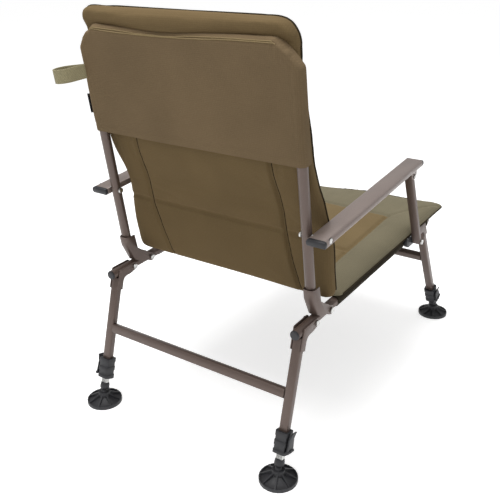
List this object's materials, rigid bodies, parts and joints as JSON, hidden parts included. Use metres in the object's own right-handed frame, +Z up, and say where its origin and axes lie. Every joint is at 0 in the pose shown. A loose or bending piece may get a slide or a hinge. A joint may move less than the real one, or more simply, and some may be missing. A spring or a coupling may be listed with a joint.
{
  "type": "folding fishing chair",
  "caption": "Low folding fishing chair with tube frame, padded seat and back, flat armrests on folding posts, and splayed legs with clamped extensions and swivelling disc feet.",
  "frame": {"origin": "on the ground, at the middle of the bounding box footprint", "axes": "+X to the left of a seated person, -Y the way the chair faces, +Z up"},
  "size_m": [0.57, 0.8936, 0.866],
  "materials": {
    "paint": "satin brown-grey paint",
    "arm_paint": "satin brown-grey paint, lit by its flat top",
    "steel": "bright zinc",
    "plastic": "matt black",
    "seat_cloth": "woven, olive with a tan centre",
    "back_cloth": "woven, brown olive",
    "hood_cloth": "woven, brown olive",
    "sling_cloth": "coarse dark mesh",
    "webbing": "flat khaki webbing"
  },
  "bodies": {
    "seat": {"seat_frame_tube": "paint", "seat_rear_crossbar": "paint", "seat_sling": "sling_cloth", "seat_cushion": "seat_cloth", "rail_end_plug_left": "plastic", "rail_end_plug_right": "plastic", "rear_leg_bolt_left": "steel", "rear_leg_bolt_right": "steel", "back_pivot_bolt_left": "steel", "back_pivot_bolt_right": "steel", "front_leg_bolt_left": "steel", "front_leg_bolt_right": "steel", "post_bolt_left": "steel", "post_bolt_right": "steel", "post_pivot_block_left": "plastic", "post_pivot_block_right": "plastic"},
    "back": {"back_frame_tube": "paint", "back_cushion": "back_cloth", "back_panel": "back_cloth", "hood": "hood_cloth", "side_strap": "webbing", "back_knuckle_left": "paint", "back_knuckle_right": "paint", "armrest_rear_bolt_left": "steel", "armrest_rear_bolt_right": "steel"},
    "left_armrest": {"armrest_left": "arm_paint", "armrest_rear_cap_left": "plastic", "armrest_front_cap_left": "plastic", "armrest_front_pin_left": "steel"},
    "left_arm_post": {"arm_post_left": "paint"},
    "right_armrest": {"armrest_right": "arm_paint", "armrest_rear_cap_right": "plastic", "armrest_front_cap_right": "plastic", "armrest_front_pin_right": "steel"},
    "right_arm_post": {"arm_post_right": "paint"},
    "rear_legs": {"rear_leg_left": "paint", "rear_leg_right": "paint", "rear_crossbar": "paint", "rear_collar_left": "plastic", "rear_collar_right": "plastic"},
    "rear_left_lever": {"rear_cam_lever_left": "plastic"},
    "rear_left_inner_leg": {"rear_inner_leg_left": "steel"},
    "rear_left_foot": {"rear_foot_left": "plastic"},
    "rear_right_lever": {"rear_cam_lever_right": "plastic"},
    "rear_right_inner_leg": {"rear_inner_leg_right": "steel"},
    "rear_right_foot": {"rear_foot_right": "plastic"},
    "front_legs": {"front_leg_left": "paint", "front_leg_right": "paint", "front_crossbar": "paint", "front_collar_left": "plastic", "front_collar_right": "plastic"},
    "front_left_lever": {"front_cam_lever_left": "plastic"},
    "front_left_inner_leg": {"front_inner_leg_left": "steel"},
    "front_left_foot": {"front_foot_left": "plastic"},
    "front_right_lever": {"front_cam_lever_right": "plastic"},
    "front_right_inner_leg": {"front_inner_leg_right": "steel"},
    "front_right_foot": {"front_foot_right": "plastic"}
  },
  "joints": [
    {"name": "back_fold", "type": "hinge", "parent": "seat", "child": "back", "pos_m": [0, 0.2356, 0.30058], "axis": [1, 0, 0], "range_deg": [0, 76], "deforming": ["back_cushion"]},
    {"name": "left_armrest_swing", "type": "hinge", "parent": "back", "child": "left_armrest", "pos_m": [0.265, 0.3191, 0.485], "axis": [1, 0, 0], "range_deg": [-76, 0]},
    {"name": "left_arm_post_fold", "type": "hinge", "parent": "seat", "child": "left_arm_post", "pos_m": [0.2645, -0.1576, 0.31459], "axis": [1, 0, 0], "range_deg": [0, 76]},
    {"name": "right_armrest_swing", "type": "hinge", "parent": "back", "child": "right_armrest", "pos_m": [-0.265, 0.3191, 0.485], "axis": [1, 0, 0], "range_deg": [-76, 0]},
    {"name": "right_arm_post_fold", "type": "hinge", "parent": "seat", "child": "right_arm_post", "pos_m": [-0.2645, -0.1576, 0.31459], "axis": [1, 0, 0], "range_deg": [0, 76]},
    {"name": "rear_leg_fold", "type": "hinge", "parent": "seat", "child": "rear_legs", "pos_m": [0, 0.2936, 0.29852], "axis": [-1, 0, 0], "range_deg": [0, 102]},
    {"name": "rear_left_lever_open", "type": "hinge", "parent": "rear_legs", "child": "rear_left_lever", "pos_m": [0.2528, 0.39652, 0.06648], "axis": [0, 0.9654, 0.261], "range_deg": [0, 110]},
    {"name": "rear_left_leg_slide", "type": "slide", "parent": "rear_legs", "child": "rear_left_inner_leg", "axis": [0, -0.261, 0.9654], "range_m": [-0.12, 0]},
    {"name": "rear_left_foot_tilt", "type": "hinge", "parent": "rear_left_inner_leg", "child": "rear_left_foot", "pos_m": [0.235, 0.408, 0.024], "axis": [1, 0, 0], "range_deg": [-18, 32]},
    {"name": "rear_right_lever_open", "type": "hinge", "parent": "rear_legs", "child": "rear_right_lever", "pos_m": [-0.2528, 0.39652, 0.06648], "axis": [0, -0.9654, -0.261], "range_deg": [0, 110]},
    {"name": "rear_right_leg_slide", "type": "slide", "parent": "rear_legs", "child": "rear_right_inner_leg", "axis": [0, -0.261, 0.9654], "range_m": [-0.12, 0]},
    {"name": "rear_right_foot_tilt", "type": "hinge", "parent": "rear_right_inner_leg", "child": "rear_right_foot", "pos_m": [-0.235, 0.408, 0.024], "axis": [1, 0, 0], "range_deg": [-18, 32]},
    {"name": "front_leg_fold", "type": "hinge", "parent": "seat", "child": "front_legs", "pos_m": [0, -0.205, 0.31628], "axis": [1, 0, 0], "range_deg": [0, 94]},
    {"name": "front_left_lever_open", "type": "hinge", "parent": "front_legs", "child": "front_left_lever", "pos_m": [0.2528, -0.38701, 0.06267], "axis": [0, 0.8789, -0.477], "range_deg": [0, 110]},
    {"name": "front_left_leg_slide", "type": "slide", "parent": "front_legs", "child": "front_left_inner_leg", "axis": [0, 0.477, 0.8789], "range_m": [-0.12, 0]},
    {"name": "front_left_foot_tilt", "type": "hinge", "parent": "front_left_inner_leg", "child": "front_left_foot", "pos_m": [0.235, -0.408, 0.024], "axis": [-1, 0, 0], "range_deg": [-6, 45]},
    {"name": "front_right_lever_open", "type": "hinge", "parent": "front_legs", "child": "front_right_lever", "pos_m": [-0.2528, -0.38701, 0.06267], "axis": [0, -0.8789, 0.477], "range_deg": [0, 110]},
    {"name": "front_right_leg_slide", "type": "slide", "parent": "front_legs", "child": "front_right_inner_leg", "axis": [0, 0.477, 0.8789], "range_m": [-0.12, 0]},
    {"name": "front_right_foot_tilt", "type": "hinge", "parent": "front_right_inner_leg", "child": "front_right_foot", "pos_m": [-0.235, -0.408, 0.024], "axis": [-1, 0, 0], "range_deg": [-6, 45]}
  ],
  "couplings": [
    {"joint": "left_armrest_swing", "follows": "back_fold", "ratio": -1},
    {"joint": "left_arm_post_fold", "follows": "back_fold", "ratio": 1},
    {"joint": "right_armrest_swing", "follows": "back_fold", "ratio": -1},
    {"joint": "right_arm_post_fold", "follows": "back_fold", "ratio": 1}
  ]
}
